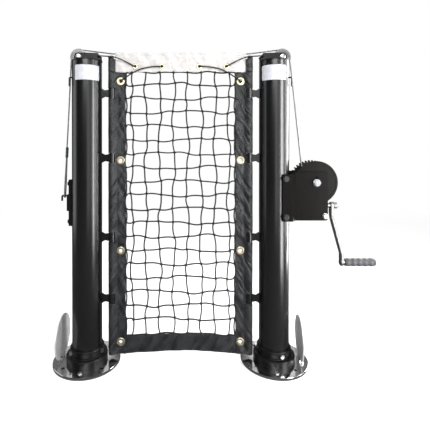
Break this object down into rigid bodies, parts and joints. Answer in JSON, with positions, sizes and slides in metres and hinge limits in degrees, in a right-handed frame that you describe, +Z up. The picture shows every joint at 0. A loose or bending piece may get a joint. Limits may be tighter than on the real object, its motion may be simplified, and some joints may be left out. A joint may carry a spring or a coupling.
{
  "type": "court net on winch posts",
  "caption": "Knotted court net with white headband between two black steel posts: worm-gear winch with crank on one, hook carriage on the other, hinged floor lids.",
  "frame": {"origin": "left post axis at floor level, the centre of its floor plate's anchor holes", "axes": "+X to the winch post, +Z up, -Y the front, from which the winch crank is on the right"},
  "size_m": [1.1293, 0.228, 1.0815],
  "materials": {
    "chrome_plate": "polished chrome",
    "brushed_lid": "brushed stainless",
    "black_powder": "gloss powder coat",
    "zinc_steel": "bright zinc plate",
    "crank_zinc": "zinc plate",
    "black_bolt": "black oxide",
    "black_tape": "coated woven tape",
    "white_band": "vinyl coated canvas",
    "brass_grommet": "rolled brass",
    "black_cord": "braided cord",
    "net_cord": "braided net cord",
    "steel_cable": "galvanised strand",
    "winch_black": "satin paint",
    "drum_brown": "dark oiled steel",
    "gear_iron": "blackened cast iron",
    "worm_steel": "ground steel",
    "bush_bronze": "sintered bronze",
    "grip_plastic": "ribbed moulded grip"
  },
  "bodies": {
    "posts_and_net": {"left_floor_plate": "chrome_plate", "right_floor_plate": "chrome_plate", "plate_screws": "zinc_steel", "lid_pins": "zinc_steel", "left_collar": "black_powder", "right_collar": "black_powder", "collar_bolts": "zinc_steel", "left_post": "black_powder", "right_post": "black_powder", "left_head_bracket": "black_powder", "right_head_bracket": "black_powder", "sheave_bolts": "zinc_steel", "left_rope_hook": "black_powder", "right_rope_hook": "black_powder", "left_lacing_rod": "black_powder", "right_lacing_rod": "black_powder", "left_rod_lugs": "black_powder", "right_rod_lugs": "black_powder", "left_side_tape": "black_tape", "right_side_tape": "black_tape", "left_side_grommets": "brass_grommet", "right_side_grommets": "brass_grommet", "left_bracket_cord": "black_cord", "right_bracket_cord": "black_cord", "left_corner_cord": "black_cord", "right_corner_cord": "black_cord", "headband": "white_band", "headband_grommets": "brass_grommet", "net": "net_cord", "bottom_band": "black_tape", "net_cable": "steel_cable", "cable_ferrule": "zinc_steel", "anchor_rail": "black_powder", "rail_bolts": "black_bolt", "winch_front_plate": "winch_black", "winch_rear_plate": "winch_black", "winch_post_bolts": "zinc_steel", "winch_tie_bolt": "zinc_steel", "winch_tie_spacer": "zinc_steel", "drum_shaft": "zinc_steel", "drum_spacer": "zinc_steel", "bearing_blocks": "winch_black", "worm_bushes": "bush_bronze", "block_screws": "zinc_steel"},
    "left_lid": {"left_lid": "brushed_lid"},
    "right_lid": {"right_lid": "brushed_lid"},
    "left_sheave": {"left_sheave": "zinc_steel"},
    "right_sheave": {"right_sheave": "zinc_steel"},
    "crank": {"worm_shaft": "worm_steel", "crank_arm": "crank_zinc", "crank_nut": "zinc_steel", "grip_spindle": "zinc_steel"},
    "grip": {"crank_grip": "grip_plastic"},
    "drum": {"winch_drum": "drum_brown", "worm_wheel": "gear_iron"},
    "carriage": {"anchor_carriage": "black_powder"}
  },
  "joints": [
    {"name": "left_lid_hinge", "type": "hinge", "parent": "posts_and_net", "child": "left_lid", "pos_m": [-0.08999, 0.00157, 0.014], "axis": [-0.0175, -0.9998, 0], "range_deg": [-12, 92]},
    {"name": "right_lid_hinge", "type": "hinge", "parent": "posts_and_net", "child": "right_lid", "pos_m": [0.73912, -0.01253, 0.014], "axis": [0.1392, 0.9903, 0], "range_deg": [-12, 92]},
    {"name": "left_sheave_spin", "type": "hinge", "parent": "posts_and_net", "child": "left_sheave", "pos_m": [-0.027, 0, 1.052], "axis": [0, 1, 0], "continuous": true},
    {"name": "right_sheave_spin", "type": "hinge", "parent": "posts_and_net", "child": "right_sheave", "pos_m": [0.677, 0, 1.052], "axis": [0, 1, 0], "continuous": true},
    {"name": "crank_spin", "type": "hinge", "parent": "posts_and_net", "child": "crank", "pos_m": [0.786, 0.024, 0.534], "axis": [1, 0, 0], "continuous": true},
    {"name": "grip_spin", "type": "hinge", "parent": "crank", "child": "grip", "pos_m": [0.953, 0.024, 0.332], "axis": [1, 0, 0], "continuous": true},
    {"name": "drum_spin", "type": "hinge", "parent": "posts_and_net", "child": "drum", "pos_m": [0.786, 0, 0.62], "axis": [0, 1, 0], "continuous": true},
    {"name": "carriage_slide", "type": "slide", "parent": "posts_and_net", "child": "carriage", "axis": [0, 0, 1], "range_m": [0, 0.016]}
  ],
  "couplings": [
    {"joint": "drum_spin", "follows": "crank_spin", "ratio": 0.025}
  ]
}
